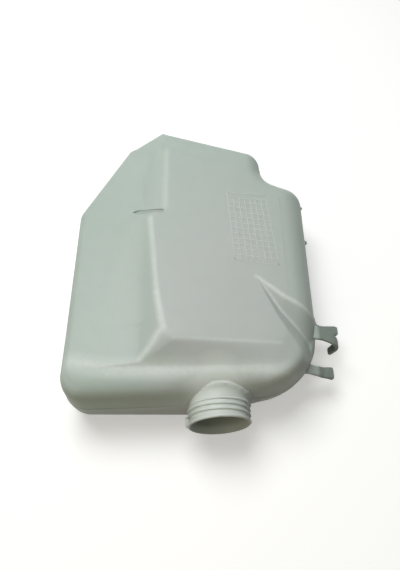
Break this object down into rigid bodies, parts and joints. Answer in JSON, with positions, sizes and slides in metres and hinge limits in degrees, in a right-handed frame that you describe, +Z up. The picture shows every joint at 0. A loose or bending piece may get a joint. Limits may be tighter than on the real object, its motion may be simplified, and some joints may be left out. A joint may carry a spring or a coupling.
{
  "type": "coolant expansion tank",
  "caption": "Flat blow-moulded coolant expansion tank with a threaded filler neck on one end and clip fingers for a hose on one side.",
  "frame": {"origin": "middle of the flat back, on the surface that the tank lies on", "axes": "X across the tank to the side with the clip fingers, Y from the neck end to the peak at the far end, Z up from the flat back to the front panel"},
  "size_m": [0.2405, 0.2898, 0.0835],
  "materials": {
    "tank": "natural polyethylene, milky pale green grey, smooth satin"
  },
  "bodies": {
    "root": {"tank": "tank"}
  },
  "joints": []
}
